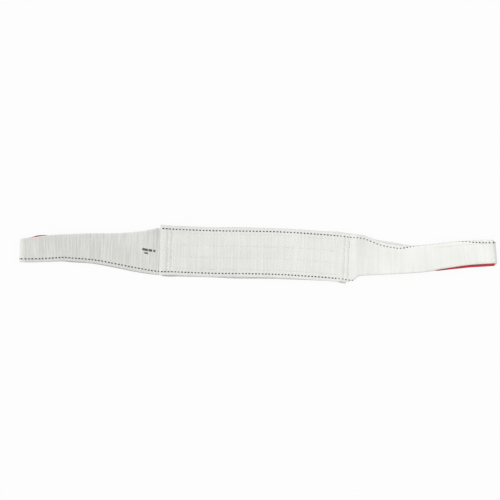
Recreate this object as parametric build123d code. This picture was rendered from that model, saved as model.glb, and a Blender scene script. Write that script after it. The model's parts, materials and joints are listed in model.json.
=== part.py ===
from build123d import *
import math
import os

# Flat web sling with a folded eye at each end, lying on its underside.
# Origin at the centre of the underside, +X towards the right eye, +Z up, millimetres.
#
# One length of webbing makes the whole sling. It starts as the body's top ply, goes round the right
# eye, comes back as the middle ply, goes round the left eye and ends as the bottom ply. It is cut into
# segments where it bends. The two eyes are the same piece turned half round about Z.

# Driving dimensions
WEB_WIDTH = 102.0
WEB_THICKNESS = 3.0
PLY_COUNT = 3
BODY_LENGTH = 400.0
EYE_LENGTH = 290.0
BIGHT_RADIUS = 14.5          # outer radius of the bend at an eye's tip
CROTCH_DISTANCE = 45.0       # from the body's end to where an eye's legs part

# Webbing folded lengthwise in the eyes
FOLD_GAP = 0.4
EYE_EDGES = (                # distance from the body's end, folded edge, open edge
    (45.0, 40.0, 44.0),
    (75.0, 38.3, 41.0),
    (110.0, 36.0, 33.0),
    (134.0, 34.5, 29.5),
    (168.0, 32.0, 28.5),
    (290.0, 27.5, 27.0),
)

# Red wear lining inside each eye
LINING_THICKNESS = 2.0
LINING_FOLD_SIDE = 30.5
LINING_OPEN_SIDE = 20.0
LINING_GAP = 0.1

# Room for the webbing to bend at each joint
FLEX_SLIT = 2.8
SWING_SLIT = 5.0
CROTCH_SLIT = 4.0
LINK_SLIT = 0.2

# Sewing thread
THREAD = 0.6
STITCH_PITCH = 8.0
STITCH_LENGTH = 6.4
BODY_ROWS = (-36.0, -12.0, 12.0, 36.0)
END_ROWS = (13.0, 22.0)      # distance of the crosswise rows from the body's end
END_ROW_HALF = 44.0
LENGTHWISE_MARGIN = 26.0     # the lengthwise rows stop here, short of the crosswise rows
LINING_ROW_INSET = 3.5
THREAD_SINK = 0.05           # depth of the lower thread below the cloth's surface

# Worked out from the above
HALF_BODY = BODY_LENGTH / 2
SEGMENT_NAMES = ("left_outer", "left_inner", "center", "right_inner", "right_outer")
SEGMENT_LENGTH = BODY_LENGTH / len(SEGMENT_NAMES)
BODY_HEIGHT = PLY_COUNT * WEB_THICKNESS
LEG_THICKNESS = 2 * WEB_THICKNESS + FOLD_GAP
LINED_THICKNESS = LEG_THICKNESS + LINING_GAP + LINING_THICKNESS

CROTCH_X = HALF_BODY + CROTCH_DISTANCE
CROTCH_Z = LEG_THICKNESS + LINING_GAP
BIGHT_X = HALF_BODY + EYE_LENGTH - BIGHT_RADIUS
BIGHT_Z = BIGHT_RADIUS
TIP_X = HALF_BODY + EYE_LENGTH

# The upper leg is straight from the crotch until its inner face touches the bight's inner circle
CROTCH_TO_BIGHT = math.hypot(BIGHT_X - CROTCH_X, BIGHT_Z - CROTCH_Z)
INNER_RADIUS = BIGHT_RADIUS - LEG_THICKNESS
UPPER_SLOPE = math.atan2(BIGHT_Z - CROTCH_Z, BIGHT_X - CROTCH_X) + math.asin(INNER_RADIUS / CROTCH_TO_BIGHT)
UPPER_LENGTH = math.sqrt(CROTCH_TO_BIGHT**2 - INNER_RADIUS**2)
TANGENT_ANGLE = 90.0 + math.degrees(UPPER_SLOPE)

# Each eye opens as a rhombus of four equal links: crotch, two middle pivots and the bight's nose
CHORD = math.hypot(TIP_X - CROTCH_X, BIGHT_Z - CROTCH_Z)
CHORD_ANGLE = math.atan2(BIGHT_Z - CROTCH_Z, TIP_X - CROTCH_X)
CHORD_MIDDLE = ((CROTCH_X + TIP_X) / 2, (CROTCH_Z + BIGHT_Z) / 2)
PIVOT_OFFSET = (CHORD_MIDDLE[1] - CROTCH_Z) / math.cos(CHORD_ANGLE)
LOWER_PIVOT_X = CHORD_MIDDLE[0] + PIVOT_OFFSET * math.sin(CHORD_ANGLE)
UPPER_PIVOT_X = CHORD_MIDDLE[0] - PIVOT_OFFSET * math.sin(CHORD_ANGLE)
UPPER_PIVOT_TRAVEL = (UPPER_PIVOT_X - CROTCH_X) / math.cos(UPPER_SLOPE)
UPPER_SPLIT_TRAVEL = (UPPER_PIVOT_TRAVEL + UPPER_LENGTH) / 2


def save(node, solids):
    """Write one node, a single solid or a group of separate solids."""
    group = solids[0] if len(solids) == 1 else Compound(children=solids)
    export_step(group, f"parts/{node}.step")


def block(low, high):
    """A box between two corners."""
    size = [high[i] - low[i] for i in range(3)]
    return Solid.make_box(*size, Plane(origin=low))


def eye_edges(x):
    """Folded and open edge of an eye's leg at a place along X."""
    distance = min(max(x - HALF_BODY, EYE_EDGES[0][0]), EYE_EDGES[-1][0])
    for near, far in zip(EYE_EDGES, EYE_EDGES[1:]):
        if distance <= far[0]:
            share = (distance - near[0]) / (far[0] - near[0])
            return near[1] + share * (far[1] - near[1]), near[2] + share * (far[2] - near[2])


def lower_frame(x):
    """A point on the lower leg's outer face and the direction towards the loop's inside."""
    return Vector(x, 0, 0), Vector(0, 0, 1)


def bight_frame(angle):
    """The same on the bight, by angle up from the nose in degrees."""
    out = Vector(math.cos(math.radians(angle)), 0, math.sin(math.radians(angle)))
    return Vector(BIGHT_X, 0, BIGHT_Z) + out * BIGHT_RADIUS, out * -1


def upper_frame(travel):
    """The same on the upper leg, by distance from the crotch along its slope."""
    along = Vector(math.cos(UPPER_SLOPE), 0, math.sin(UPPER_SLOPE))
    out = Vector(-math.sin(UPPER_SLOPE), 0, math.cos(UPPER_SLOPE))
    return Vector(CROTCH_X, 0, CROTCH_Z) + along * travel + out * LEG_THICKNESS, out * -1


def section(frame, outline):
    """A closed outline of (across, depth) points set square to the leg at a frame."""
    point, inward = frame
    corners = [point + inward * depth + Vector(0, across, 0) for across, depth in outline]
    return Wire.make_polygon(corners, close=True)


def folded_outline(x):
    """Webbing folded over lengthwise: the outer layer, the fold and the flap tucked inside the loop."""
    fold, opening = eye_edges(x)
    flap = WEB_WIDTH - fold - opening - WEB_THICKNESS
    flap_start = WEB_THICKNESS + FOLD_GAP
    return (
        (opening, 0),
        (-fold, 0),
        (-fold, LEG_THICKNESS),
        (-fold + flap, LEG_THICKNESS),
        (-fold + flap, flap_start),
        (-fold + WEB_THICKNESS, flap_start),
        (-fold + WEB_THICKNESS, WEB_THICKNESS),
        (opening, WEB_THICKNESS),
    )


def lining_outline(x):
    """The lining lies on the flap and stands a little proud of the folded edge at the tip."""
    near = LEG_THICKNESS + LINING_GAP
    return (
        (LINING_OPEN_SIDE, near),
        (-LINING_FOLD_SIDE, near),
        (-LINING_FOLD_SIDE, LINED_THICKNESS),
        (LINING_OPEN_SIDE, LINED_THICKNESS),
    )


def sweep_leg(frames, outline):
    """A leg piece through a list of frames."""
    return Solid.make_loft([section(frame, outline(frame[0].X)) for frame in frames], ruled=True)


def lower_stations(start, end):
    """Frames along the lower leg, with one wherever its edges change direction."""
    bends = [HALF_BODY + row[0] for row in EYE_EDGES]
    return [lower_frame(x) for x in [start, *[x for x in bends if start < x < end], end]]


def upper_stations(start, end):
    """Frames along the upper leg, with one wherever its edges change direction."""
    bends = [(HALF_BODY + row[0] - CROTCH_X) / math.cos(UPPER_SLOPE) for row in EYE_EDGES]
    return [upper_frame(t) for t in [start, *[t for t in bends if start < t < end], end]]


def bight_stations(start, end):
    """Frames round part of the bight."""
    steps = max(2, round(abs(end - start) / 15))
    return [bight_frame(start + (end - start) * i / steps) for i in range(steps + 1)]


def ply_between(near, far):
    """A flat tapering length of webbing between two (x, half width or edges, height) places."""
    wires = []
    for x, fold, opening, z in (near, far):
        corners = [(x, -fold, z), (x, opening, z), (x, opening, z + WEB_THICKNESS), (x, -fold, z + WEB_THICKNESS)]
        wires.append(Wire.make_polygon([Vector(*corner) for corner in corners], close=True))
    return Solid.make_loft(wires, ruled=True)


def stitch(frame, along, height):
    """One lock stitch: the thread on both faces and through the cloth at the end of the stitch.

    The frame is on the lower face, with the direction through the cloth. The lower thread is sunk
    flush, and the upper thread lies on the far face."""
    point, through = frame
    across = through.cross(along)
    low = THREAD_SINK
    outline = (
        (0, low),
        (STITCH_LENGTH, low),
        (STITCH_LENGTH, height + THREAD),
        (0, height + THREAD),
        (0, height),
        (STITCH_LENGTH - THREAD, height),
        (STITCH_LENGTH - THREAD, low + THREAD),
        (0, low + THREAD),
    )
    corners = [point + along * a + through * b - across * (THREAD / 2) for a, b in outline]
    face = Face(Wire.make_polygon(corners, close=True))
    return Solid.extrude(face, across * THREAD)


def evenly(start, end):
    """Start of each whole stitch in a row between two places."""
    count = int((end - start) // STITCH_PITCH)
    first = start + (end - start - count * STITCH_PITCH + STITCH_PITCH - STITCH_LENGTH) / 2
    return [first + STITCH_PITCH * i for i in range(count)]


def build_body():
    """Three plies of webbing and their stitching, in five segments."""
    up = Vector(0, 0, 1)
    for number, segment in enumerate(SEGMENT_NAMES):
        low = -HALF_BODY + number * SEGMENT_LENGTH
        high = low + SEGMENT_LENGTH
        start = low if number == 0 else low + FLEX_SLIT / 2
        end = high if number == len(SEGMENT_NAMES) - 1 else high - FLEX_SLIT / 2
        for level, ply in enumerate(("bottom_ply", "middle_ply", "top_ply")):
            z = level * WEB_THICKNESS
            corners = (start, -WEB_WIDTH / 2, z), (end, WEB_WIDTH / 2, z + WEB_THICKNESS)
            save(f"{ply}_{segment}", [block(*corners)])
        row_start = max(start, -HALF_BODY + LENGTHWISE_MARGIN)
        row_end = min(end, HALF_BODY - LENGTHWISE_MARGIN)
        stitches = [
            stitch((Vector(x, y, 0), up), Vector(1, 0, 0), BODY_HEIGHT)
            for y in BODY_ROWS
            for x in evenly(row_start, row_end)
        ]
        save(f"body_stitches_{segment}", stitches)


def build_end_stitches():
    """Rows sewn across the body near each end."""
    for side, sign in (("left", -1), ("right", 1)):
        stitches = [
            stitch((Vector(sign * (HALF_BODY - inset), y, 0), Vector(0, 0, 1)), Vector(0, 1, 0), BODY_HEIGHT)
            for inset in END_ROWS
            for y in evenly(-END_ROW_HALF, END_ROW_HALF)
        ]
        save(f"end_stitches_{side}", stitches)


def throat_plies(upper_level, lower_level):
    """The two plies that leave the body, gathering towards the crotch, for the right eye."""
    start = HALF_BODY + SWING_SLIT
    end = CROTCH_X - CROTCH_SLIT / 2
    fold, opening = eye_edges(CROTCH_X)
    half = WEB_WIDTH / 2
    upper_end = CROTCH_Z + WEB_THICKNESS + FOLD_GAP
    upper = ply_between((start, half, half, upper_level), (end, fold, opening, upper_end))
    lower = ply_between((start, half, half, lower_level), (end, fold, opening, 0))
    return {"throat_upper_web": upper, "throat_lower_web": lower}


def eye_legs():
    """The folded webbing of the right eye, cut where it bends and at the middle of the upper outer leg."""
    gap = LINK_SLIT / 2
    nose_gap = math.degrees(gap / BIGHT_RADIUS)
    crotch_gap = CROTCH_SLIT / 2
    frames = {
        "upper_inner_leg": upper_stations(crotch_gap, UPPER_PIVOT_TRAVEL - gap),
        "upper_outer_leg": upper_stations(UPPER_PIVOT_TRAVEL + gap, UPPER_SPLIT_TRAVEL - gap),
        "upper_bight": bight_stations(nose_gap, TANGENT_ANGLE)
        + upper_stations(UPPER_SPLIT_TRAVEL + gap, UPPER_LENGTH)[-2::-1],
        "lower_inner_leg": lower_stations(CROTCH_X + crotch_gap, LOWER_PIVOT_X - gap),
        "lower_bight": lower_stations(LOWER_PIVOT_X + gap, BIGHT_X)[:-1] + bight_stations(-90, -nose_gap),
    }
    return {node: sweep_leg(stations, folded_outline) for node, stations in frames.items()}


def eye_linings():
    """The red lining on the inside of the right eye, from the middle pivots round the bight."""
    gap = LINK_SLIT / 2
    nose_gap = math.degrees(gap / BIGHT_RADIUS)
    frames = {
        "lining_upper": [upper_frame(UPPER_PIVOT_TRAVEL + gap), upper_frame(UPPER_SPLIT_TRAVEL - gap)],
        "lining_upper_bight": bight_stations(nose_gap, TANGENT_ANGLE) + [upper_frame(UPPER_SPLIT_TRAVEL + gap)],
        "lining_lower_bight": [lower_frame(LOWER_PIVOT_X + gap)] + bight_stations(-90, -nose_gap),
    }
    return {node: sweep_leg(stations, lining_outline) for node, stations in frames.items()}


def lining_stitches():
    """Two rows along the lining's edges on the straight stretches of the right eye's legs."""
    rows = (-LINING_FOLD_SIDE + LINING_ROW_INSET, LINING_OPEN_SIDE - LINING_ROW_INSET)
    slope = Vector(math.cos(UPPER_SLOPE), 0, math.sin(UPPER_SLOPE))
    stretches = {
        "lining_stitches_upper": (upper_frame, slope, UPPER_PIVOT_TRAVEL, UPPER_SPLIT_TRAVEL),
        "lining_stitches_upper_bight": (upper_frame, slope, UPPER_SPLIT_TRAVEL, UPPER_LENGTH),
        "lining_stitches_lower_bight": (lower_frame, Vector(1, 0, 0), LOWER_PIVOT_X, BIGHT_X),
    }
    nodes = {}
    for node, (frame_at, along, start, end) in stretches.items():
        nodes[node] = []
        for y in rows:
            for place in evenly(start + 1, end - 1):
                point, inward = frame_at(place)
                nodes[node].append(stitch((point + Vector(0, y, 0), inward), along, LINED_THICKNESS))
    return nodes


def build_eyes():
    """Both eyes. The top and middle plies enter the right eye, the middle and bottom plies the left."""
    throats = {
        "left": throat_plies(WEB_THICKNESS, 0),
        "right": throat_plies(2 * WEB_THICKNESS, WEB_THICKNESS),
    }
    for side, turn in (("left", 180), ("right", 0)):
        pieces = {**throats[side], **eye_legs(), **eye_linings()}
        nodes = {node: [solid] for node, solid in pieces.items()}
        nodes.update(lining_stitches())
        for node, solids in nodes.items():
            save(f"{side}_{node}", [solid.rotate(Axis.Z, turn) for solid in solids])


os.makedirs("parts", exist_ok=True)
build_body()
build_end_stitches()
build_eyes()
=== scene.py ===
import json
import math

import bpy
import numpy as np
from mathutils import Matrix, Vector


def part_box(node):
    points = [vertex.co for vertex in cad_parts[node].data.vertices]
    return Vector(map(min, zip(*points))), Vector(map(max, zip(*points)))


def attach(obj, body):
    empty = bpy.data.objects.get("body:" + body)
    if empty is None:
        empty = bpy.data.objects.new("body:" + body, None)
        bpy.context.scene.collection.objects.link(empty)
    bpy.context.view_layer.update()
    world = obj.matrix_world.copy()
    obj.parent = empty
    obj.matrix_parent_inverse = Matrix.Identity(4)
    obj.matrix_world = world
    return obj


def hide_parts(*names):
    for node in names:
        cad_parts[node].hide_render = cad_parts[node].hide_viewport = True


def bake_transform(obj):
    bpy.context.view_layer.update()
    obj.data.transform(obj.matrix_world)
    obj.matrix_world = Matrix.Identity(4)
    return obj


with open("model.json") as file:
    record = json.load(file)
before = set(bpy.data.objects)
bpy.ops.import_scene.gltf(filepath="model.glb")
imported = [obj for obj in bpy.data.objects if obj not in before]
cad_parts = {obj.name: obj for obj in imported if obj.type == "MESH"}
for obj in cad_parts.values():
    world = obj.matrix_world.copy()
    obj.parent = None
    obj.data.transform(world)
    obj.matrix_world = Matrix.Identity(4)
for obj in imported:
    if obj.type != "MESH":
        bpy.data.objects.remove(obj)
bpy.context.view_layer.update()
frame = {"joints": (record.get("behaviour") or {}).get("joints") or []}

# The looks of a flat web sling. Lengths here are millimetres in the CAD frame, and Mesh.link() turns
# them into metres. The webbing is one long strip. A place on it is (p, v, w): p along its path, v across
# its middle surface from one selvedge, in an eye the one that stays open, and w out of that surface.

MM = 0.001

# ---------------- places taken from the frame


def low(node):
    return np.array(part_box(node)[0]) / MM


def high(node):
    return np.array(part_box(node)[1]) / MM


def pivot(joint):
    place = next(j["pos_m"] for j in frame["joints"] if j["name"] == joint)
    return np.array(place) / MM


BODY_END = high("top_ply_right_outer")[0]
WEB_WIDTH = high("top_ply_center")[1] - low("top_ply_center")[1]
WEB_THICK = high("bottom_ply_center")[2] - low("bottom_ply_center")[2]
TIP = high("right_lower_bight")[0]
BIGHT_RADIUS = pivot("right_bight_bend")[2]
FLEX_INNER = pivot("right_inner_flex")[0]
FLEX_OUTER = pivot("right_outer_flex")[0]
CROTCH = pivot("right_eye_open")
LEG_SPLIT = low("right_upper_bight")[0]
LINING_START = low("right_lining_lower_bight")[0]

HALF_T = WEB_THICK / 2
SLIT = 0.1  # the CAD's gap between two legs, and between a leg and its lining
LEG_THICK = CROTCH[2] - SLIT
LINING_THICK = 2.0
MID_WIDTH = WEB_WIDTH - WEB_THICK  # across the middle surface, without the rounded selvedges
FOLD_R = 1.7  # bend radius of the lengthwise fold, at the middle surface
LIP_R = 2.5  # bend radius where the open selvedge turns down
FLAP_CLEARANCE = 6.0  # the folded-under flap stops this far inside the open edge
NOSE_POWER = 3.2  # 2 would make the bight's outline round

# ---------------- weave and trim sizes

RIB_PITCH = 6.9
RIB_HEIGHT = 0.22
FINE_RIB_HEIGHT = 0.05
STEP = RIB_PITCH / 6  # station spacing along the webbing
TRACER_INSET = 5.7  # from the end of the middle surface
DASH_LENGTH = 4.2
DASH_YARN = 1.3  # a dash is two yarns side by side
DASH_HEIGHT = 0.45
DASH_LIFT = 0.08  # a dash's middle lies this far above the face
DASH_WOBBLE = 0.3
YARN_SPACING = 0.47  # of a yarn's width, from the line's middle to each yarn
LEAST_DASH = 0.4  # a smaller share of a dash at a piece's end is left out
STITCH_PITCH = 5.0
STITCH_LENGTH = 4.5
STITCH_WIDTH = 1.0
STITCH_HEIGHT = 0.45
BODY_ROWS = (-36.0, -12.0, 12.0, 36.0)
ROW_DIP = (0.35, 1.7)  # depth and half width of the groove along a row
ROW_OVERRUN = 6.0  # a groove is gone this far past its last stitch
ROW_FADE_OUT = 8.0  # having faded over this length
ROW_FADE_IN = 4.0
END_ROWS = (13.0, 22.0)
END_ROW_STITCHES = 18
END_ROW_REACH = 47.0
END_ROW_DIP = (0.8, 2.1)
END_ROW_FADE = 3.0
CROWN = 0.12  # how far the sewn body's faces rise and fall between the rows
ROW_STOP = 26.0
ROW_SINK = 0.2
END_ROW_SINK = 0.55
LINING_ROW_INSET = 3.5
LINING_OPEN_SIDE = 24.0
OPEN_SIDE_ROW = LINING_OPEN_SIDE - LINING_ROW_INSET
LEG_ROW_DIP = (0.3, 1.5)
LINING_DIP = (0.3, 1.2)
LINING_LEAD = 9.0  # the lining's soft ends reach this far beyond the CAD solid's
LINING_PITCH = 2.3  # of its weave
LINING_COLUMNS = 37
CUT_END_REACH = 2.5  # the sealed end of the top ply creeps out this far
CUT_END_PRESS = 1.6  # and is pressed thinner by this much
CUT_END_SOFT = 6.0  # over about this length
EYE_START = 23.5 * RIB_PITCH  # the eyes' strips start on a rib's crest inside the sewn body
THROAT_END = 222.0  # along X, where one piece of an eye's webbing ends
CROTCH_END = 306.0
BIGHT_START = 462.0


# ---------------- smooth curves through a few points


def curve(points):
    """A monotone cubic through (x, y) points, level outside them."""
    xs, ys = np.array(points, float).T
    width = np.diff(xs)
    slope = np.diff(ys) / width
    tangent = np.zeros(len(xs))
    for i in range(1, len(xs) - 1):
        a, b = slope[i - 1], slope[i]
        if a * b > 0:
            tangent[i] = 2 * a * b / (a + b)

    def value(x):
        x = np.clip(np.asarray(x, float), xs[0], xs[-1])
        i = np.clip(np.searchsorted(xs, x, side="right") - 1, 0, len(width) - 1)
        t = (x - xs[i]) / width[i]
        h00 = (1 + 2 * t) * (1 - t) ** 2
        h10 = t * (1 - t) ** 2
        h01 = t * t * (3 - 2 * t)
        h11 = t * t * (t - 1)
        return h00 * ys[i] + h10 * width[i] * tangent[i] + h01 * ys[i + 1] + h11 * width[i] * tangent[i + 1]

    return value


def slow_noise(u, v, seed):
    """Smooth deterministic variation between about -1 and 1."""
    a = np.sin(u * 0.071 + seed) + np.sin(u * 0.173 + v * 0.031 + seed * 2.1)
    b = np.sin(v * 0.093 + u * 0.017 + seed * 3.7) + np.sin(u * 0.39 + seed * 0.7) * 0.6
    return (a + b) / 3.2


# ---------------- how the sling lies

# Sideways offset of the sling's middle along X. The right eye lies bent a little towards +Y.
LAY = curve(
    (
        (-TIP, -8.8), (-440, -5.5), (-390, -1.6), (-330, 0), (-120, 0), (30, 2.2), (150, 0.3), (200, 0),
        (290, 0.2), (311, 0.5), (331, 1.3), (352, 3.2), (375, 6.2), (405, 10), (435, 13.8), (465, 16.4),
        (TIP, 18.0),
    )
)


def lay_down(points):
    """Bends straight points sideways, keeping sections square to the sling's middle line."""
    x, y, z = points[..., 0], points[..., 1], points[..., 2]
    turn = np.arctan((LAY(x + 1.0) - LAY(x - 1.0)) / 2.0)
    return np.stack([x - y * np.sin(turn), LAY(x) + y * np.cos(turn), z], axis=-1)


# ---------------- the two eyes

# Each curve is over the distance from the body's end. The folded and open edges are measured from the
# sling's middle line. The lip is the length of webbing that hangs down along the open edge.

EYES = {
    "left": {
        "turn": -1,
        "fold": (
         (-14, 53), (-7, 49), (-2, 45), (4, 43.9), (9, 43.9), (16, 43.1), (24, 41.8), (44, 37.6),
         (94, 31.8), (144, 29.8), (194, 28), (230, 27.4), (247, 26), (262, 24.4), (290, 23),
        ),
        "open": (
         (0, 51), (24, 48.8), (44, 46), (64, 43), (84, 39.5), (104, 36.5), (124, 33.3), (144, 31.3),
         (184, 28.4), (204, 27), (244, 27.4), (274, 26.6), (290, 26),
        ),
        "lower_fold": (
         (-14, 53), (-6, 49), (0, 46.6), (8, 44.6), (14, 43.5), (24, 41.2), (44, 36.6), (94, 30.8),
         (144, 28.8), (194, 27.2), (230, 26.8), (247, 25.6), (262, 24.2), (290, 22.8),
        ),
        "lower_open": (
         (-38, 53), (-20, 54), (-8, 53.4), (2, 51.5), (24, 50), (44, 47.6), (64, 44.8), (84, 41),
         (104, 38), (124, 34.8), (144, 32.5), (184, 30), (204, 28), (244, 27.6), (274, 26.6),
         (290, 26),
        ),
        "lip": ((0, 0), (290, 0)),
        "lip_angle": ((0, 0), (290, 0)),
        "lining_fold": (
         (168, 27), (200, 27.6), (228, 27.6), (238, 28.3), (250, 28.1), (264, 25), (290, 22.6),
        ),
        "skew": ((190, 0), (290, 0)),
        "upper_z": ((-6, 4.5), (2, 4.8), (12, 8.2), (24, 11.1), (45, 11.6), (70, 13.15)),
        "lower_z": ((-10, 1.5), (10, 1.5)),
    },
    "right": {
        "turn": 1,
        "fold": (
         (-38, 53.9), (-30, 52.3), (-21, 51.1), (-13, 50.3), (-7, 49.3), (-3, 48), (1, 45.2), (5, 41),
         (10, 38.8), (16, 37.8), (26, 36.6), (56, 34.4), (86, 31.9), (116, 29.6), (146, 27.6),
         (156, 26.6), (172, 24.8), (193, 23.4), (214, 22), (240, 21.2), (290, 20.6),
        ),
        "open": (
         (-38, 49.8), (-21, 48.4), (-10, 47.5), (0, 47.4), (12, 46.6), (24, 43.6), (37, 38.8),
         (49, 34.6), (61, 31.8), (74, 29.8), (92, 27.8), (116, 27.2), (136, 27.4), (166, 27.8),
         (196, 28.4), (226, 29.2), (290, 28.4),
        ),
        "lower_fold": (
         (-38, 53), (-21, 52.3), (-13, 50.6), (-6, 49), (-1, 46.2), (3, 42.4), (8, 38.8), (16, 37),
         (26, 35.6), (56, 33), (86, 31), (116, 29), (146, 27.8), (172, 26), (206, 24.6), (290, 23.4),
        ),
        "lower_open": (
         (-38, 51), (-21, 49), (0, 47.2), (12, 45), (24, 41.4), (37, 38.4), (49, 36.6), (66, 34.6),
         (92, 31), (116, 27.8), (136, 27.4), (166, 27.6), (196, 28.2), (226, 29.2), (290, 28.4),
        ),
        "lip": (
         (66, 0), (88, 4.5), (110, 8), (136, 10.5), (200, 10.5), (228, 9), (248, 7), (290, 5.6),
        ),
        "lip_angle": (
         (66, 0), (88, 25), (110, 62), (136, 92), (205, 92), (230, 70), (250, 50), (290, 38),
        ),
        "lining_fold": ((158, 26.4), (168, 27.4), (193, 27), (214, 26.8), (255, 26.5), (290, 25.8)),
        "skew": ((190, 0), (235, 0.03), (290, 0.12)),
        "upper_z": (
         (-11, 7.5), (-6, 8.1), (0, 9.7), (8, 11.2), (20, 11.5), (45, 11.8), (70, 13.15),
        ),
        "lower_z": ((-8, 4.5), (-2, 4.4), (12, 2.4), (24, 1.5), (30, 1.5)),
    },
}
# How far the open edge of an upper leg sinks below its folded edge, where there is less under it.
DROP = curve(((0, 0), (12, 3.2), (24, 5.8), (45, 6.2), (80, 6), (110, 5), (150, 2.6), (190, 0.6), (220, 0)))
LIP_LOWER_FADE = curve(((180, 0), (250, 1)))


PATH_STEP = 0.5
NOSE_STEPS = 90
NOSE_MARGIN = 30  # path steps beside the nose that belong to neither leg
NOSE_BLEND = 12.0  # the upper leg's edges turn into the lower leg's over this length
RISE_END = 45.0  # from here the upper leg's height follows the CAD's slope
RISE_BLEND = 25.0
SMOOTHING = 9  # path steps that the heading is averaged over


class Eye:
    """The webbing from inside the body's end, out along the upper leg, round the bight and back below."""

    def __init__(self, side):
        spec = EYES[side]
        self.side = side
        self.turn = spec["turn"]
        self.curves = {k: curve(v) for k, v in spec.items() if k != "turn"}
        centre = TIP - BIGHT_RADIUS
        reach = (BIGHT_RADIUS - CROTCH[2], centre - CROTCH[0])
        slope = math.atan2(*reach) + math.asin((BIGHT_RADIUS - LEG_THICK) / math.hypot(*reach))
        middle_r = BIGHT_RADIUS - HALF_T
        touch = (centre - middle_r * math.sin(slope), BIGHT_RADIUS + middle_r * math.cos(slope))

        def leg_z(x):
            return touch[1] - math.tan(slope) * (touch[0] - x)

        x_up = np.arange(EYE_START, centre, PATH_STEP)
        near = self.curves["upper_z"](x_up - BODY_END)
        share = np.clip((x_up - BODY_END - RISE_END) / RISE_BLEND, 0, 1)
        z_up = near * (1 - share) + leg_z(x_up) * share
        # The bight is pressed a little flat, so its outline is squarer than a circle.
        t = np.linspace(0, math.pi, NOSE_STEPS)
        x_nose = centre + middle_r * np.abs(np.sin(t)) ** (2 / NOSE_POWER)
        level = (1 + np.sign(np.cos(t)) * np.abs(np.cos(t)) ** (2 / NOSE_POWER)) / 2
        z_nose = HALF_T + (leg_z(x_nose) - HALF_T) * level
        x_down = np.arange(centre - PATH_STEP, EYE_START - PATH_STEP / 2, -PATH_STEP)
        z_down = self.curves["lower_z"](x_down - BODY_END)
        self.x = np.concatenate([x_up, x_nose, x_down])
        self.z = np.concatenate([z_up, z_nose, z_down])
        lengths = np.hypot(np.diff(self.x), np.diff(self.z))
        along = np.concatenate([[0], np.cumsum(lengths)])
        self.p = np.linspace(0, along[-1], round(along[-1] / PATH_STEP))
        self.x = np.interp(self.p, along, self.x)
        self.z = np.interp(self.p, along, self.z)
        heading = np.unwrap(np.arctan2(np.gradient(self.z), np.gradient(self.x)))
        kernel = np.ones(SMOOTHING) / SMOOTHING
        pad = SMOOTHING // 2
        padded = np.concatenate([[heading[0]] * pad, heading, [heading[-1]] * pad])
        self.heading = np.convolve(padded, kernel, mode="valid")
        self.length = self.p[-1]
        self.nose_step = int(np.argmax(self.x))
        self.nose = self.p[self.nose_step]

    def at_x(self, x, lower=False):
        """Path length where the upper or lower leg passes a place along X."""
        if lower:
            part = slice(self.nose_step + NOSE_MARGIN, None)
            return float(np.interp(-x, -self.x[part], self.p[part]))
        part = slice(0, self.nose_step - NOSE_MARGIN)
        return float(np.interp(x, self.x[part], self.p[part]))

    def frame(self, p):
        """Place along X, height and heading at each path length."""
        return [np.interp(p, self.p, values) for values in (self.x, self.z, self.heading)]

    def past_end(self, p):
        """Distance along X from the body's end."""
        return np.interp(p, self.p, self.x) - BODY_END

    def shape(self, p):
        """Edges, lip and drop at each path length."""
        s = self.past_end(p)
        upper = np.clip((self.nose + NOSE_BLEND / 2 - p) / NOSE_BLEND, 0, 1)
        c = self.curves
        fold = c["fold"](s) * upper + c["lower_fold"](s) * (1 - upper)
        opening = c["open"](s) * upper + c["lower_open"](s) * (1 - upper)
        keep = upper + (1 - upper) * LIP_LOWER_FADE(s)
        lip = c["lip"](s) * keep
        angle = np.radians(c["lip_angle"](s)) * keep
        drop = DROP(s) * upper
        return fold, opening, lip, angle, drop

    def unrolled(self, p):
        """Where the lip bends and where the fold starts, across the webbing."""
        fold, opening, lip, angle, _ = self.shape(p)
        proud = (LIP_R + HALF_T) * np.sin(angle) + np.maximum(lip - LIP_R * angle, 0) * np.cos(angle)
        proud = proud + HALF_T * (1 - np.sin(angle))
        fold_at = lip + fold + opening - FOLD_R - HALF_T - proud
        return lip, fold_at

    def place(self, p, v, w):
        """Points of the folded webbing. p, v and w are arrays that broadcast."""
        p, v, w = np.broadcast_arrays(p, v, w)
        x, z, heading = self.frame(p)
        fold, opening, lip, angle, drop = self.shape(p)
        lip_at, fold_at = self.unrolled(p)
        across = fold_at - v
        out = np.zeros_like(across)
        normal_across = np.zeros_like(across)
        normal_out = np.ones_like(across)

        folded = v > fold_at
        bend = np.clip((v - fold_at) / FOLD_R, 0, math.pi)
        flap = MID_WIDTH - fold_at - math.pi * FOLD_R
        room = fold + opening - FOLD_R - HALF_T - FLAP_CLEARANCE
        fit = np.minimum(room / np.maximum(flap, 1.0), 1.0)
        past = np.maximum(v - fold_at - math.pi * FOLD_R, 0) * fit
        across = np.where(folded, -FOLD_R * np.sin(bend) + past, across)
        out = np.where(folded, -FOLD_R * (1 - np.cos(bend)), out)
        normal_across = np.where(folded, -np.sin(bend), normal_across)
        normal_out = np.where(folded, np.cos(bend), normal_out)

        hanging = v < lip_at
        bend = np.clip((lip_at - v) / LIP_R, 0, angle)
        past = np.maximum(lip_at - v - LIP_R * angle, 0)
        edge = fold_at - lip_at
        across = np.where(hanging, edge + LIP_R * np.sin(bend) + past * np.cos(bend), across)
        out = np.where(hanging, -LIP_R * (1 - np.cos(bend)) - past * np.sin(bend), out)
        normal_across = np.where(hanging, np.sin(bend), normal_across)
        normal_out = np.where(hanging, np.cos(bend), normal_out)

        across = across + w * normal_across - fold + FOLD_R + HALF_T
        out = out + w * normal_out
        return self.put(x, z, heading, across, out, fold, opening, drop)

    def place_flat(self, p, across, w):
        """Points at a distance across from the middle line and out from the outer layer's middle."""
        p, across, w = np.broadcast_arrays(p, across, w)
        x, z, heading = self.frame(p)
        fold, opening, _, _, drop = self.shape(p)
        return self.put(x, z, heading, across, w, fold, opening, drop)

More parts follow.
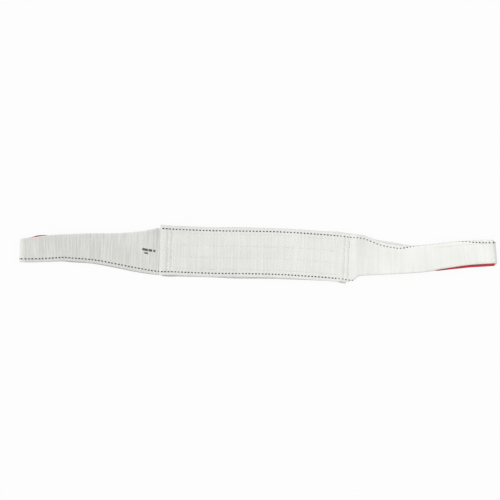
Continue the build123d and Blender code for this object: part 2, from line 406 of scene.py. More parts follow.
    def put(self, x, z, heading, across, out, fold, opening, drop):
        out = out - drop * np.clip((across + fold) / (fold + opening), 0, 1.1)
        px = x - out * np.sin(heading) - self.curves["skew"](x - BODY_END) * across
        pz = z + out * np.cos(heading)
        return lay_down(np.stack([px * self.turn, across * self.turn, pz], axis=-1))


FLARE_FROM = 168.0
FLARE_LENGTH = 32.0
SKEW_FROM = 160.0
SKEW_LENGTH = 40.0


class Ply:
    """A flat ply of the sewn body. p runs along X from the left.

    flare widens its left end, and cut_skew slants its right end."""

    def __init__(self, level, shift, cut_skew=0.0, flare=0.0):
        self.z = (level + 0.5) * WEB_THICK
        self.shift = curve(shift)
        self.cut_skew = cut_skew
        self.flare = flare

    def place(self, p, v, w):
        p, v, w = np.broadcast_arrays(p, v, w)
        y = MID_WIDTH / 2 - v
        near_left = np.clip((-p - FLARE_FROM) / FLARE_LENGTH, 0, 1)
        near_right = np.clip((p - SKEW_FROM) / SKEW_LENGTH, 0, 1)
        y = y * (1 + self.flare * near_left * near_left)
        x = p - self.cut_skew * near_right * (v / MID_WIDTH)
        return lay_down(np.stack([x, y + self.shift(p), self.z + w + 0 * p], axis=-1))


# ---------------- surface relief


# The ribs show less towards the right.
CALM = curve(((-60, 1), (120, 0.72), (240, 0.55)))


def rib(u, v):
    """Crosswise ribs of the weave, stronger in some places than in others."""
    strength = 1 + 0.35 * slow_noise(u, v, 1.3)
    coarse = np.abs(np.sin(math.pi * u / RIB_PITCH)) ** 0.7 - 0.6
    fine = np.abs(np.cos(2 * math.pi * u / RIB_PITCH)) ** 0.8 - 0.55
    return RIB_HEIGHT * strength * coarse + FINE_RIB_HEIGHT * fine


def seam_dip(distance, depth, half_width):
    """A rounded groove that a row of stitches pulls into the webbing."""
    return -depth * np.exp(-((distance / half_width) ** 2))


def end_rows_dip(x, y):
    """Grooves across the webbing at the two rows that close the body's ends."""
    rows = sum(seam_dip(np.abs(x) - (BODY_END - inset), *END_ROW_DIP) for inset in END_ROWS)
    return rows * np.clip((END_ROW_REACH - np.abs(y)) / END_ROW_FADE, 0, 1)


def body_relief(x, y):
    """Grooves along and across the sewn body, and the soft crown between them."""
    dip = sum(seam_dip(y - row, *ROW_DIP) for row in BODY_ROWS)
    dip = dip * np.clip((BODY_END - ROW_STOP + ROW_OVERRUN - np.abs(x)) / ROW_FADE_OUT, 0, 1)
    return dip + end_rows_dip(x, y) + CROWN * slow_noise(x * 0.8, y * 1.5, 4.0)


# ---------------- mesh building


def turned_in(points, faces):
    """Whether a closed shell's faces point inwards, from its signed volume."""
    corners = np.array([(f[0], f[i], f[i + 1]) for f in faces for i in range(1, len(f) - 1)])
    a, b, c = (points[corners[:, i]] - points.mean(axis=0) for i in range(3))
    return np.einsum("ij,ij->", a, np.cross(b, c)) < 0


class Mesh:
    """Collects points, faces, web coordinates and material numbers for one piece."""

    def __init__(self, name):
        self.name = name
        self.points = []
        self.web = []
        self.faces = []
        self.slots = []
        self.flat = []
        self.count = 0

    def add(self, points, web, faces, slot, flat):
        points = np.asarray(points, float).reshape(-1, 3)
        if turned_in(points, faces):
            faces = [tuple(reversed(f)) for f in faces]
        self.points.append(points)
        self.web.append(np.asarray(web, float).reshape(-1, 3))
        self.faces.extend([tuple(i + self.count for i in f) for f in faces])
        self.slots.extend([slot] * len(faces))
        self.flat.extend(flat)
        self.count += len(points)

    def sharpen_ends(self, mesh):
        """Keeps the flat ends out of the smooth shading beside them."""
        flat = np.array(self.flat, bool)
        mesh.polygons.foreach_set("use_smooth", ~flat)
        edge_of_corner = np.empty(len(mesh.loops), np.int32)
        mesh.loops.foreach_get("edge_index", edge_of_corner)
        corners = np.array([len(f) for f in self.faces])
        sharp = np.zeros(len(mesh.edges), bool)
        sharp[edge_of_corner[np.repeat(flat, corners)]] = True
        mesh.attributes.new("sharp_edge", "BOOLEAN", "EDGE").data.foreach_set("value", sharp)

    def link(self, materials, slot):
        """Makes the piece, in metres. The slot argument is not used."""
        mesh = bpy.data.meshes.new(self.name)
        points = np.concatenate(self.points) * MM
        mesh.from_pydata(points.tolist(), [], self.faces)
        for material in materials:
            mesh.materials.append(material)
        mesh.polygons.foreach_set("material_index", np.array(self.slots, np.int32))
        self.sharpen_ends(mesh)
        web = mesh.attributes.new("web", "FLOAT_VECTOR", "POINT")
        web.data.foreach_set("vector", np.concatenate(self.web).astype(np.float32).ravel())
        mesh.update()
        piece = bpy.data.objects.new(self.name, mesh)
        bpy.context.scene.collection.objects.link(piece)
        return piece


def tube_faces(stations, ring):
    """Quads between rings of points, in ring order."""
    faces = []
    for i in range(stations - 1):
        a, b = i * ring, (i + 1) * ring
        for j in range(ring):
            k = (j + 1) % ring
            faces.append((a + j, b + j, b + k, a + k))
    return faces


def end_faces(columns, cap, offset, ring, flip):
    """A flat end across one ring: quads between the two faces and a fan at each rounded selvedge."""
    top = list(range(columns))
    bottom = [columns + cap + (columns - 1 - i) for i in range(columns)]
    faces = [(top[i], top[i + 1], bottom[i + 1], bottom[i]) for i in range(columns - 1)]
    far = list(range(columns - 1, columns + cap + 1))
    near = [bottom[0]] + list(range(2 * columns + cap, ring)) + [top[0]]
    faces.append(tuple(reversed(far)))
    faces.append(tuple(reversed(near)))
    faces = [tuple(offset + i for i in f) for f in faces]
    return [tuple(reversed(f)) for f in faces] if flip else faces


SELVEDGE_STEPS = 4
SELVEDGE_ANGLES = np.linspace(0, math.pi, SELVEDGE_STEPS + 2)[1:-1][None, :]


def closed_sheet(mesh, u, columns, top, far, bottom, near, edge_face=0):
    """Joins two faces and two rounded selvedges into a closed sheet with flat ends.

    The third web coordinate is 1 on the top, -1 on the bottom and edge_face on the selvedges."""
    rings = np.concatenate([top, far, bottom[:, ::-1], near], axis=1)
    stations, ring = rings.shape[:2]
    count = columns.shape[1]
    level = 0 * SELVEDGE_ANGLES
    edges = (columns[:, -1:] + level, columns[:, :1] + level)
    across = np.concatenate([columns, edges[0], columns[:, ::-1], edges[1]], axis=1)
    side = np.full(ring, edge_face, float)
    side[:count] = 1
    side[count + SELVEDGE_STEPS : 2 * count + SELVEDGE_STEPS] = -1
    web = np.stack([np.broadcast_to(u, across.shape), across, np.broadcast_to(side, across.shape)], axis=-1)
    faces = tube_faces(stations, ring)
    ends = end_faces(count, SELVEDGE_STEPS, 0, ring, False)
    ends += end_faces(count, SELVEDGE_STEPS, (stations - 1) * ring, ring, True)
    mesh.add(rings, web, faces + ends, 0, [False] * len(faces) + [True] * len(ends))


def strip(mesh, place, stations, v_columns, phase, top_relief, bottom_relief, calm):
    """A length of webbing: two ribbed faces, rounded selvedges and closed ends.

    v_columns is a (stations, columns) array, so that columns can follow the fold."""
    p = stations[:, None]
    u = phase + p
    ribs = rib(u, v_columns) * calm[:, None]
    top = place(p, v_columns, HALF_T + ribs + top_relief(p, v_columns))
    bottom = place(p, v_columns, -HALF_T - ribs - bottom_relief(p, v_columns))
    bulge = HALF_T * (1 + 0.10 * np.sin(2 * math.pi * u / RIB_PITCH) + 0.12 * slow_noise(u, 0, 2.0))
    outward = bulge * np.sin(SELVEDGE_ANGLES)
    level = HALF_T * np.cos(SELVEDGE_ANGLES)
    far = place(p, v_columns[:, -1:] + outward, level)
    near = place(p, v_columns[:, :1] - outward, -level)
    closed_sheet(mesh, u, v_columns, top, far, bottom, near)


BEAD_RINGS = 6
BEAD_SIDES = 6


def bead(mesh, place, u0, middle, direction, size, slot, limits=(-math.inf, math.inf)):
    """A yarn float or stitch: a flattened pill lying on the surface at (p, v, w), cut off at the limits."""
    p0, v0, w0 = middle
    length, width, height = size
    t = np.linspace(-1, 1, BEAD_RINGS)[:, None]
    a = (np.arange(BEAD_SIDES) * 2 * math.pi / BEAD_SIDES)[None, :]
    swell = np.maximum(1 - np.abs(t) ** 3.2, 0.06) ** 0.5
    along = t * length / 2 + 0 * a
    side = swell * width / 2 * np.cos(a)
    up = swell * height * np.sin(a)
    dp, dv = direction
    p = np.clip(p0 + along * dp + side * dv, *limits)
    points = place(p, v0 + along * dv + side * dp, w0 + up)
    faces = tube_faces(BEAD_RINGS, BEAD_SIDES)
    faces.append(tuple(range(BEAD_SIDES)))
    faces.append(tuple((BEAD_RINGS - 1) * BEAD_SIDES + i for i in reversed(range(BEAD_SIDES))))
    web = np.stack([u0 + along, v0 + side, np.sign(w0) + 0 * along], axis=-1)
    mesh.add(points, web, faces, slot, [False] * len(faces))


ALONG = (1, 0)
ACROSS = (0, 1)
STITCH = (STITCH_LENGTH, STITCH_WIDTH, STITCH_HEIGHT)
TRACER_LINES = (TRACER_INSET, MID_WIDTH - TRACER_INSET)


def dashes(mesh, place, start, end, phase, scale=1.0):
    """Dark tracer yarn near both selvedges, showing on each face where it floats over the weave."""
    first = math.ceil((start + phase) / RIB_PITCH - 1.5)
    last = math.floor((end + phase) / RIB_PITCH)
    length, width = scale * DASH_LENGTH, scale * DASH_YARN
    for i in range(first, last + 1):
        for face, shift in ((1, 0.5), (-1, 1.0)):
            for v in TRACER_LINES:
                for yarn in (-1, 1):
                    p = (i + shift) * RIB_PITCH - phase + DASH_WOBBLE * math.sin(i * 2.1 + v + yarn)
                    inside = min(p + length / 2, end) - max(p - length / 2, start)
                    if inside < LEAST_DASH * length:
                        continue
                    middle = (p, v + yarn * width * YARN_SPACING, face * (HALF_T + DASH_LIFT))
                    size = (length, width, DASH_HEIGHT)
                    bead(mesh, place, p + phase, middle, ALONG, size, 1, (start, end))


# ---------------- materials


class Nodes:
    """Short helpers for building the nodes of a material or of the world."""

    def __init__(self, owner):
        self.owner = owner
        owner.use_nodes = True
        self.tree = owner.node_tree
        self.shader = self.tree.nodes.get("Principled BSDF")

    def node(self, kind, **settings):
        n = self.tree.nodes.new(kind)
        for key, value in settings.items():
            setattr(n, key, value)
        return n

    def link(self, a, b):
        self.tree.links.new(a, b)

    def feed(self, socket, value):
        if isinstance(value, (int, float, tuple)):
            socket.default_value = value
        else:
            self.link(value, socket)

    def maths(self, operation, a, b=0.0, clamp=False):
        n = self.node("ShaderNodeMath", operation=operation, use_clamp=clamp)
        self.feed(n.inputs[0], a)
        self.feed(n.inputs[1], b)
        return n.outputs[0]

    def mix(self, factor, a, b):
        n = self.node("ShaderNodeMix", data_type="RGBA")
        self.feed(n.inputs[0], factor)
        self.feed(n.inputs[6], a)
        self.feed(n.inputs[7], b)
        return n.outputs[2]

    def web(self):
        """Along, across and face, from the mesh's own web coordinates."""
        attribute = self.node("ShaderNodeAttribute", attribute_name="web")
        split = self.node("ShaderNodeSeparateXYZ")
        self.link(attribute.outputs["Vector"], split.inputs[0])
        return split.outputs[0], split.outputs[1], split.outputs[2]

    def scaled(self, value, factor):
        return self.maths("MULTIPLY", value, factor)

    def vector(self, x, y, z=0.0):
        n = self.node("ShaderNodeCombineXYZ")
        for i, value in enumerate((x, y, z)):
            self.feed(n.inputs[i], value)
        return n.outputs[0]

    def noise(self, vector, scale, detail=2.0):
        n = self.node("ShaderNodeTexNoise")
        n.inputs["Scale"].default_value = scale
        n.inputs["Detail"].default_value = detail
        self.link(vector, n.inputs["Vector"])
        return n.outputs["Fac"]

    def ramp(self, value, in_low, in_high, out_low=0.0, out_high=1.0):
        n = self.node("ShaderNodeMapRange", clamp=True)
        inputs = ("Value", "From Min", "From Max", "To Min", "To Max")
        for name, given in zip(inputs, (value, in_low, in_high, out_low, out_high)):
            self.feed(n.inputs[name], given)
        return n.outputs["Result"]

    def bump(self, height, strength, distance):
        n = self.node("ShaderNodeBump")
        n.inputs["Strength"].default_value = strength
        n.inputs["Distance"].default_value = distance
        self.link(height, n.inputs["Height"])
        return n.outputs["Normal"]


def weave_height(n, along, across, cell, pitch):
    """Warp yarns as rows of beads, each row half a bead out of step with the next."""
    column = n.maths("FLOOR", n.maths("DIVIDE", across, cell))
    odd = n.scaled(n.maths("FLOORED_MODULO", column, 2.0), 0.5)
    turn = n.maths("ADD", n.maths("DIVIDE", along, pitch), odd)
    bead_wave = n.maths("ABSOLUTE", n.maths("SINE", n.scaled(turn, math.pi)))
    yarn_turn = n.scaled(n.maths("DIVIDE", across, cell), math.pi)
    yarn_wave = n.maths("ABSOLUTE", n.maths("SINE", yarn_turn))
    beads = n.maths("POWER", bead_wave, 0.55)
    yarns = n.maths("POWER", yarn_wave, 0.5)
    return n.maths("MULTIPLY", beads, yarns)


def ink_mask(n, along, across, face):
    """Where a few plain rubber-stamped bars have left ink on the outer face."""
    mask = 0.0

    def within(place, middle, size):
        off = n.maths("ABSOLUTE", n.maths("SUBTRACT", place, middle))
        return n.ramp(off, size / 2 - 0.5, size / 2 + 0.5, 1.0, 0.0)

    for middle_u, middle_v, length, height in INK_BARS:
        bar = n.maths("MULTIPLY", within(along, middle_u, length), within(across, middle_v, height))
        mask = n.maths("MAXIMUM", mask, bar)
    patchy = n.ramp(n.noise(n.vector(along, across), 0.9, 3.0), 0.28, 0.42)
    return n.maths("MULTIPLY", n.maths("MULTIPLY", mask, patchy), n.ramp(face, 0.4, 0.6))


def darker(colour, share):
    return tuple(c * share for c in colour[:3]) + (1.0,)


def webbing_material(name, colour, shade, cell, pitch, sheen, painted_rib_shade=0.1, ink=False):
    """Woven polyester: beads of warp yarn, fine filaments, uneven ribs and light soiling, with painted
    shade in streaks along the ribs and in the weave's valleys.

    cell is a warp yarn's width and pitch a bead's length, both in millimetres."""
    n = Nodes(bpy.data.materials.new(name))
    along, across, face = n.web()

    def grain(along_scale, across_scale, scale, detail):
        stretched = n.vector(n.scaled(along, along_scale), n.scaled(across, across_scale), face)
        return n.noise(stretched, scale, detail)

    weave = weave_height(n, along, across, cell, pitch)
    filaments = grain(0.25, 4.0, 1.6, 2.0)
    height = n.maths("ADD", weave, n.scaled(filaments, 0.35))
    n.link(n.bump(height, 0.55, 0.00022), n.shader.inputs["Normal"])

    rib_noise = grain(0.16, 0.006, 1.0, 3.0)
    patch = grain(0.018, 0.03, 1.0, 2.0)
    soil = n.ramp(n.maths("ADD", n.scaled(rib_noise, 0.6), n.scaled(patch, 0.5)), 0.42, 0.72)
    # Painted shade: darker in the weave's valleys, between the beads of yarn.
    valley_shade = n.ramp(weave, 0.0, 0.65, 1.0, 0.0)
    base = n.mix(n.scaled(soil, 0.55), colour, shade)
    # Painted shade in streaks along the ribs, as grazing light gives them; painted_rib_shade sets how
    # strong.
    lines = grain(0.42, 0.02, 1.0, 2.5)
    base = n.mix(n.scaled(n.ramp(lines, 0.40, 0.66), painted_rib_shade), base, darker(shade, 0.70))
    base = n.mix(n.scaled(valley_shade, 0.38), base, darker(shade, 0.80))
    if ink:
        base = n.mix(n.scaled(ink_mask(n, along, across, face), 0.95), base, INK)
    n.link(base, n.shader.inputs["Base Color"])
    n.link(n.ramp(weave, 0.0, 1.0, 0.92, 0.68), n.shader.inputs["Roughness"])
    n.shader.inputs["Sheen Weight"].default_value = sheen
    n.shader.inputs["Sheen Roughness"].default_value = 0.45
    n.shader.inputs["Specular IOR Level"].default_value = 0.35
    return n.owner


def thread_material(name, colour, twist_scale, rough):
    """Twisted yarn: slanting plies with a little fuzz, and painted shade between the plies."""
    n = Nodes(bpy.data.materials.new(name))
    along, across, face = n.web()
    slant = n.maths("ADD", n.scaled(along, twist_scale), n.scaled(across, twist_scale * 1.4))
    plies = n.maths("ABSOLUTE", n.maths("SINE", slant))
    fuzz = n.noise(n.vector(along, across, face), 3.0, 3.0)
    n.link(n.bump(n.maths("ADD", plies, fuzz), 0.5, 0.00012), n.shader.inputs["Normal"])
    # Painted shade: darker in the grooves between the plies.
    shade = n.ramp(plies, 0.0, 0.7, 1.0, 0.0)
    base = n.mix(n.scaled(shade, 0.6), colour, darker(colour, 0.62))
    n.link(base, n.shader.inputs["Base Color"])
    n.link(n.ramp(fuzz, 0.3, 0.7, rough - 0.08, rough + 0.08), n.shader.inputs["Roughness"])
    n.shader.inputs["Sheen Weight"].default_value = 0.15
    return n.owner


# ---------------- the sling's runs of webbing

RIGHT_EYE = Eye("right")
LEFT_EYE = Eye("left")
TOP_SHIFT = ((-200, 0.4), (-100, 0), (60, 0.5), (140, -0.4), (163, -1.2))
MIDDLE_SHIFT = ((-160, 0), (-120, -0.7), (-40, 0.9), (60, -0.8), (160, 0))
BOTTOM_SHIFT = ((-160, -2), (-100, -1.2), (-40, -3.4), (60, -1.6), (120, -0.6), (160, -0.8), (200, -5.2))
PLIES = {
    "top": Ply(2, TOP_SHIFT, flare=0.018),
    "middle": Ply(1, MIDDLE_SHIFT),
    "bottom": Ply(0, BOTTOM_SHIFT, cut_skew=17.0),
}
# What to add to a place along a run to count ribs from the sling's middle.
PHASE = {"top": 0.0, "middle": 0.0, "bottom": 0.0, "right": EYE_START, "left": EYE_START}

WHITE = (0.735, 0.738, 0.705, 1.0)
WHITE_SHADE = (0.615, 0.625, 0.59, 1.0)
# RED is partly the lining's own red and partly painted shade: it is darkened for lying beneath the fold.
RED = (0.53, 0.03, 0.043, 1.0)
RED_SHADE = (0.30, 0.007, 0.013, 1.0)
INK = (0.035, 0.035, 0.042, 1.0)
# Along, across, length and height of each stamped bar, on the left eye's upper leg.
INK_BARS = ((233.5, 46.4, 12, 5), (222.5, 46.4, 8, 5), (214, 46.6, 4.4, 4.4), (231, 39.6, 8, 3.4))

YARN_WIDTH = 1.7
BEAD_LENGTH = RIB_PITCH / 2
WEBBING = webbing_material("white_webbing", WHITE, WHITE_SHADE, YARN_WIDTH, BEAD_LENGTH, 0.25)
# The left eye's webbing: the stamped ink, and stronger painted shade in streaks along its ribs.
INKED_RIB_SHADED_WEBBING = webbing_material(
    "inked_rib_shaded_webbing", WHITE, WHITE_SHADE, YARN_WIDTH, BEAD_LENGTH, 0.25, painted_rib_shade=0.42, ink=True
)
LINING = webbing_material("red_lining", RED, RED_SHADE, 1.25, LINING_PITCH, 0.35)
THREAD = thread_material("sewing_thread", (0.74, 0.74, 0.69, 1.0), 2.6, 0.62)
TRACER = thread_material("tracer_yarn", (0.028, 0.028, 0.032, 1.0), 2.2, 0.55)
LINING_THREAD = thread_material("lining_thread", (0.72, 0.71, 0.67, 1.0), 2.6, 0.62)

EYE_WEBBING = {"left": INKED_RIB_SHADED_WEBBING, "right": WEBBING}
DASH_SIZE = {"left": 1.0, "right": 0.8}
BARE_UPPER_SIDE = "right"  # where the upper leg, not the top ply, is outermost in the body


def nothing(p, v):
    return 0.0 * (p + v)


def even_columns(stations, spacing):
    count = max(4, round(MID_WIDTH / spacing) + 1)
    return np.broadcast_to(np.linspace(0, MID_WIDTH, count), (len(stations), count))


def stations_between(start, end, phase):
    """Places along the webbing, in step with its ribs and clear of both ends."""
    first = math.ceil((start + phase) / STEP + 0.4)
    last = math.floor((end + phase) / STEP - 0.4)
    inner = np.arange(first, last + 1) * STEP - phase
    return np.concatenate([[start], inner, [end]])


def on_crest(p, phase):
    """The nearest rib crest, where two pieces can meet without a visible seam."""
    return (round((p + phase) / RIB_PITCH - 0.5) + 0.5) * RIB_PITCH - phase


def body_piece(ply, name, start, end, spacing):
    """One length of a body ply with its tracer dashes."""
    run = PLIES[ply]
    mesh = Mesh(name)
    stations = stations_between(start, end, PHASE[ply])
    columns = even_columns(stations, spacing)

    def relief(p, v):
        return body_relief(p, MID_WIDTH / 2 - v)

    def top_relief(p, v):
        from_end = p + BODY_END + CUT_END_REACH
        return relief(p, v) - CUT_END_PRESS * np.exp(-((from_end / CUT_END_SOFT) ** 2))

    top = top_relief if ply == "top" else nothing
    bottom = relief if ply == "bottom" else nothing
    strip(mesh, run.place, stations, columns, PHASE[ply], top, bottom, CALM(stations))
    dashes(mesh, run.place, start, end, PHASE[ply])
    return mesh.link([WEBBING, TRACER], "white_webbing")


COLUMN_GAPS = (6, 30, 9, 18)  # across the lip, the face, the fold's bend and the flap
LEAST_LIP = 0.6
LEAST_FLAP = 0.3


def eye_columns(eye, stations):
    """Columns that crowd round the lip and the fold, wherever those are at each station."""
    lip_at, fold_at = eye.unrolled(stations)
    fold_at = np.minimum(fold_at, MID_WIDTH - 2 * LEAST_FLAP)
    fold_end = np.minimum(fold_at + math.pi * FOLD_R, MID_WIDTH - LEAST_FLAP)
    lip_end = np.maximum(lip_at, LEAST_LIP)
    knots = [0 * lip_at, lip_end, fold_at, fold_end, 0 * lip_at + MID_WIDTH]
    parts = []
    for a, b, n in zip(knots, knots[1:], COLUMN_GAPS):
        parts.append(a[:, None] + (b - a)[:, None] * (np.arange(n) / n)[None, :])
    parts.append(knots[-1][:, None])
    return np.concatenate(parts, axis=1)


def lining_edge(eye, p):
    """How far the lining reaches on the folded side, from the sling's middle line."""
    return eye.curves["lining_fold"](eye.past_end(p))


def lining_row(eye, p):
    """Where the stitches on the folded side run, clear of both the fold and the lining's edge."""
    return -eye.shape(p)[0] + LINING_ROW_INSET


def lining_rows_dip(eye, p, across, dip):
    """Grooves along the two rows of stitches that hold the lining."""
    return seam_dip(across - lining_row(eye, p), *dip) + seam_dip(across - OPEN_SIDE_ROW, *dip)


def eye_relief(eye):
    """Grooves that the stitches pull into the outer face, of the lining's rows and the body's end rows."""

    def relief(p, v):
        x = eye.frame(p)[0]
        _, fold_at = eye.unrolled(p)
        across = fold_at - v - eye.shape(p)[0] + FOLD_R + HALF_T
        lined = np.clip((x - LINING_START) / ROW_FADE_IN, 0, 1) * (v < fold_at)
        rows = lining_rows_dip(eye, p, across, LEG_ROW_DIP)
        upper = p < eye.nose
        bare = upper if eye.side == BARE_UPPER_SIDE else ~upper
        return rows * lined + end_rows_dip(x, across) * bare

    return relief


def eye_piece(eye, name, start, end):
    """One length of an eye's folded webbing with its tracer dashes."""
    mesh = Mesh(name)
    phase = PHASE[eye.side]
    stations = stations_between(start, end, phase)
    columns = eye_columns(eye, stations)
    calm = CALM(eye.turn * eye.frame(stations)[0])
    strip(mesh, eye.place, stations, columns, phase, eye_relief(eye), nothing, calm)
    dashes(mesh, eye.place, start, end, phase, DASH_SIZE[eye.side])
    return mesh.link([EYE_WEBBING[eye.side], TRACER], "white_webbing")


def lining_piece(eye, name, start, end):
    """One length of the lining, on the loop's inner face."""
    mesh = Mesh(name)
    stations = stations_between(start, end, PHASE[eye.side])
    half = LINING_THICK / 2
    share = np.linspace(0, 1, LINING_COLUMNS)[None, :]
    low_edge = (half - lining_edge(eye, stations))[:, None]
    columns = (LINING_OPEN_SIDE - half) + (low_edge - LINING_OPEN_SIDE + half) * share
    depth = LEG_THICK - HALF_T + SLIT + half

    def place(p, v, w):
        return eye.place_flat(p, v, w - depth)

    p = stations[:, None]
    u = PHASE[eye.side] + p
    ribs = 0.10 * np.abs(np.sin(math.pi * u / LINING_PITCH + 0 * columns)) - 0.06
    rows = lining_rows_dip(eye, p, columns, LINING_DIP)
    outward = half * np.sin(SELVEDGE_ANGLES)
    level = half * np.cos(SELVEDGE_ANGLES)
    outer = place(p, columns, half + 0 * columns)
    inner = place(p, columns, -half - ribs - rows)
    far = place(p, columns[:, -1:] - outward, level)
    near = place(p, columns[:, :1] + outward, -level)
    closed_sheet(mesh, u, columns, outer, far, inner, near, edge_face=1)
    return mesh.link([LINING], "red_lining")


def lining_thread_piece(eye, name, start, end):
    """Stitches along both edges of the lining, on the outer face and on the lining itself."""
    mesh = Mesh(name)
    inner = -(LEG_THICK - HALF_T + SLIT + LINING_THICK) - 0.02
    count = int((end - start) // STITCH_PITCH)
    first = start + (end - start - count * STITCH_PITCH) / 2 + STITCH_PITCH / 2
    for i in range(count):
        p = first + i * STITCH_PITCH
        for across in (float(lining_row(eye, p)), OPEN_SIDE_ROW):
            for w in (HALF_T - 0.05, inner):
                bead(mesh, eye.place_flat, p, (p, across, w), ALONG, STITCH, 0)
    return mesh.link([LINING_THREAD], "sewing_thread")


def body_thread_piece(name, start, end):
    """Stitches on the top and underside of the sewn body between two places along X.

    Each lies sunk a little into the groove that it pulls."""
    mesh = Mesh(name)

    def stitch(p, y, direction, sink):
        for ply, w in (("top", HALF_T + 0.02 - sink), ("bottom", -HALF_T + 0.12 + sink)):
            bead(mesh, PLIES[ply].place, p, (p, MID_WIDTH / 2 - y, w), direction, STITCH, 0)

    row_low = max(start, -BODY_END + ROW_STOP)
    row_high = min(end, BODY_END - ROW_STOP)
    if row_high > row_low:
        count = int(round((row_high - row_low) / STITCH_PITCH))
        for i in range(count):
            for row in BODY_ROWS:
                stitch(row_low + (i + 0.5) * (row_high - row_low) / count, row, ALONG, ROW_SINK)
    for inset in END_ROWS:
        for p in (inset - BODY_END, BODY_END - inset):
            if start <= p <= end:
                for i in range(END_ROW_STITCHES):
                    stitch(p, (i - (END_ROW_STITCHES - 1) / 2) * STITCH_PITCH, ACROSS, END_ROW_SINK)
    return mesh.link([THREAD], "sewing_thread")


# ---------------- building and joining the pieces

SPLIT_GAP = 0.08  # keeps the two halves of the parted upper leg from touching
PLY_SPACING = {"top": 1.25, "middle": 4.0, "bottom": 2.4}

CUTS = (-EYE_START, on_crest(-80.0, 0.0), on_crest(0.0, 0.0), on_crest(80.0, 0.0), EYE_START)
# Name, ends, the hinge inside, the bodies on its two sides, and the CAD segments that it stands for.
BODY_SPANS = (
    ("left_outer", CUTS[0], CUTS[1], -FLEX_OUTER, "body_left_outer", "body_left_inner", ("left_outer",)),
    ("left_inner", CUTS[1], CUTS[2], -FLEX_INNER, "body_left_inner", "body_center",
     ("left_inner", "center")),
    ("right_inner", CUTS[2], CUTS[3], FLEX_INNER, "body_center", "body_right_inner", ("right_inner",)),
    ("right_outer", CUTS[3], CUTS[4], FLEX_OUTER, "body_right_inner", "body_right_outer", ("right_outer",)),
)


def blend_x(piece):
    """Bakes a piece's placement into its mesh."""
    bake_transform(piece)


def swing_blend(piece):
    """Bakes the placement of a piece at the joint between the body's end and an eye's throat into its mesh,
    as blend_x does.
    """
    blend_x(piece)


def build_body():
    for span, start, end, bend, first, second, segments in BODY_SPANS:
        for ply in ("top", "middle", "bottom"):
            piece = body_piece(ply, f"{ply}_web_{span}", start, end, PLY_SPACING[ply])
            blend_x(piece)
            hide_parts(*[f"{ply}_ply_{n}" for n in segments])
        thread = body_thread_piece(f"body_thread_{span}", start, end)
        blend_x(thread)
        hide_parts(*[f"body_stitches_{n}" for n in segments])
    ends = (
        ("left", "top", -BODY_END - CUT_END_REACH, -EYE_START),
        ("right", "bottom", EYE_START, BODY_END),
    )
    for side, ply, start, end in ends:
        piece = body_piece(ply, f"{ply}_web_{side}_end", start, end, PLY_SPACING[ply])
        swing_blend(piece)
        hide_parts(f"{ply}_ply_{side}_outer")


def build_end_threads():
    for side, start, end in (("left", -BODY_END, -EYE_START), ("right", EYE_START, BODY_END)):
        thread = body_thread_piece(f"end_thread_{side}", start, end)
        swing_blend(thread)
        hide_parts(f"end_stitches_{side}")


def build_eye(eye):
    side = eye.side
    phase = PHASE[side]
    up = {x: on_crest(eye.at_x(x), phase) for x in (THROAT_END, CROTCH_END, LEG_SPLIT, BIGHT_START)}
    down = {x: on_crest(eye.at_x(x, lower=True), phase) for x in (THROAT_END, CROTCH_END, BIGHT_START)}
    tip_start = up[LEG_SPLIT] + SPLIT_GAP
    lined_up = eye.at_x(LINING_START - LINING_LEAD)
    lined_down = eye.at_x(LINING_START - LINING_LEAD, lower=True)

    def throat(piece, leg):
        swing_blend(piece)

    def crotch(piece, leg):
        blend_x(piece)

    def bend(piece, leg):
        blend_x(piece)

    def tip(piece, leg):
        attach(piece, f"{side}_{leg}_tip")

    def bight(piece, leg):
        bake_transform(piece)

    # Name, ends along the path, how it follows the bodies, of which leg, and the CAD nodes replaced.
    webs = (
        ("throat_upper", 0.0, up[THROAT_END], throat, "upper", ("throat_upper_web",)),
        ("crotch_upper", up[THROAT_END], up[CROTCH_END], crotch, "upper", ("upper_inner_leg",)),
        ("leg_upper", up[CROTCH_END], up[LEG_SPLIT], bend, "upper", ("upper_outer_leg",)),
        ("tip_upper", tip_start, up[BIGHT_START], tip, "upper", ("upper_bight",)),
        ("bight", up[BIGHT_START], down[BIGHT_START], bight, "upper", ("upper_bight", "lower_bight")),
        ("leg_lower", down[BIGHT_START], down[CROTCH_END], bend, "lower", ("lower_bight",)),
        ("crotch_lower", down[CROTCH_END], down[THROAT_END], crotch, "lower", ("lower_inner_leg",)),
        ("throat_lower", down[THROAT_END], eye.length, throat, "lower", ("throat_lower_web",)),
    )
    for name, start, end, follow, leg, nodes in webs:
        piece = eye_piece(eye, f"{side}_web_{name}", start, end)
        follow(piece, leg)
        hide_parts(*[f"{side}_{n}" for n in nodes])

    # The same for the lining, with the lengths of lining and of stitches replaced.
    linings = (
        ("upper", lined_up, up[LEG_SPLIT], bend, "upper", ("upper",), ("upper",)),
        ("tip", tip_start, up[BIGHT_START], tip, "upper", ("upper_bight",), ("upper_bight",)),
        ("bight", up[BIGHT_START], down[BIGHT_START], bight, "upper", ("upper_bight", "lower_bight"), ()),
        ("lower", down[BIGHT_START], lined_down, bend, "lower", ("lower_bight",), ("lower_bight",)),
    )
    for name, start, end, follow, leg, lengths, sewn in linings:
        cloth = lining_piece(eye, f"{side}_lining_cloth_{name}", start, end)
        thread = lining_thread_piece(eye, f"{side}_lining_thread_{name}", start, end)
        follow(cloth, leg)
        follow(thread, leg)
        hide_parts(*[f"{side}_lining_{n}" for n in lengths])
        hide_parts(*[f"{side}_lining_stitches_{n}" for n in sewn])


build_body()
build_end_threads()
build_eye(RIGHT_EYE)
build_eye(LEFT_EYE)

# ---------------- studio and camera

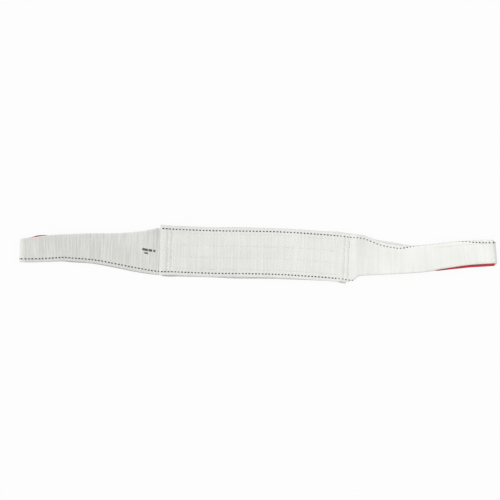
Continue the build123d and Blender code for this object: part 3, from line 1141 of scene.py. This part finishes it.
FLOOR_GAP = 0.0006  # metres, as is everything in this section
CONTACT_REACH = 0.025
CONTACT_DEPTH = 0.07
BACKDROP = 0.982
FILL = 0.555
FRAME_WIDTH = 1.030
CAMERA_HEIGHT = 9.0
ROLL = math.radians(2.05)
AIM = (-0.0165, 0.0076)
FLOOR_REACH = 6.0
SHADOW = (0.1, 0.1, 0.1, 1.0)
KEY_PLACE = (-1.0, 0.25, 0.72)
LAMP_PLACE = (0.9, 0.1, 1.1)


def build_stage():
    """A white sweep. Only the soft contact shadow shows, so a part that swings below it stays in sight."""
    floor_mesh = bpy.data.meshes.new("floor")
    signs = ((-1, -1), (1, -1), (1, 1), (-1, 1))
    corners = [(a * FLOOR_REACH, b * FLOOR_REACH, 0) for a, b in signs]
    floor_mesh.from_pydata(corners, [], [(0, 1, 2, 3)])
    floor = bpy.data.objects.new("floor", floor_mesh)
    floor.location.z = -FLOOR_GAP
    bpy.context.scene.collection.objects.link(floor)
    n = Nodes(bpy.data.materials.new("floor_paper"))
    n.tree.nodes.remove(n.shader)
    occlusion = n.node("ShaderNodeAmbientOcclusion", samples=12)
    occlusion.inputs["Distance"].default_value = CONTACT_REACH
    hidden = n.maths("SUBTRACT", 1.0, occlusion.outputs["AO"])
    clear = n.node("ShaderNodeBsdfTransparent")
    dark = n.node("ShaderNodeEmission")
    dark.inputs["Color"].default_value = SHADOW
    mix = n.node("ShaderNodeMixShader")
    n.link(n.maths("MULTIPLY", n.maths("POWER", hidden, 1.5), CONTACT_DEPTH), mix.inputs[0])
    n.link(clear.outputs[0], mix.inputs[1])
    n.link(dark.outputs[0], mix.inputs[2])
    n.link(mix.outputs[0], n.tree.nodes["Material Output"].inputs["Surface"])
    floor_mesh.materials.append(n.owner)


def aim(lamp, place):
    lamp.location = place
    lamp.rotation_euler = (-Vector(place)).to_track_quat("-Z", "Y").to_euler()
    bpy.context.scene.collection.objects.link(lamp)


def build_lights():
    """A white room, a soft key from the left and a wide lamp above the right."""
    n = Nodes(bpy.data.worlds.new("studio"))
    bpy.context.scene.world = n.owner
    background = n.tree.nodes["Background"]
    background.inputs["Color"].default_value = (1.0, 1.0, 1.0, 1.0)
    height = n.node("ShaderNodeSeparateXYZ")
    n.link(n.node("ShaderNodeNewGeometry").outputs["Incoming"], height.inputs[0])
    level = n.node("ShaderNodeMix")
    n.link(n.node("ShaderNodeLightPath").outputs["Is Camera Ray"], level.inputs[0])
    n.link(n.ramp(height.outputs["Z"], -0.25, 0.02, FILL, BACKDROP), level.inputs[2])
    level.inputs[3].default_value = BACKDROP
    n.link(level.outputs[0], background.inputs["Strength"])
    sun = bpy.data.lights.new("key", "SUN")
    sun.energy = 2.08
    sun.angle = math.radians(18)
    aim(bpy.data.objects.new("key", sun), KEY_PLACE)
    lamp = bpy.data.lights.new("lamp", "AREA")
    lamp.shape = "DISK"
    lamp.size = 1.2
    lamp.energy = 7.0
    aim(bpy.data.objects.new("lamp", lamp), LAMP_PLACE)


def build_camera():
    data = bpy.data.cameras.new("camera")
    data.sensor_width = 36.0
    data.lens = data.sensor_width * CAMERA_HEIGHT / FRAME_WIDTH
    data.clip_end = 40.0
    camera = bpy.data.objects.new("camera", data)
    right = (math.cos(ROLL), math.sin(ROLL))
    up = (-math.sin(ROLL), math.cos(ROLL))
    x = right[0] * AIM[0] + up[0] * AIM[1]
    y = right[1] * AIM[0] + up[1] * AIM[1]
    camera.location = (x, y, CAMERA_HEIGHT)
    camera.rotation_euler = (0.0, 0.0, ROLL)
    bpy.context.scene.collection.objects.link(camera)
    bpy.context.scene.camera = camera


build_stage()
build_lights()
build_camera()
bpy.context.scene.view_settings.view_transform = "Standard"

bpy.context.view_layer.update()
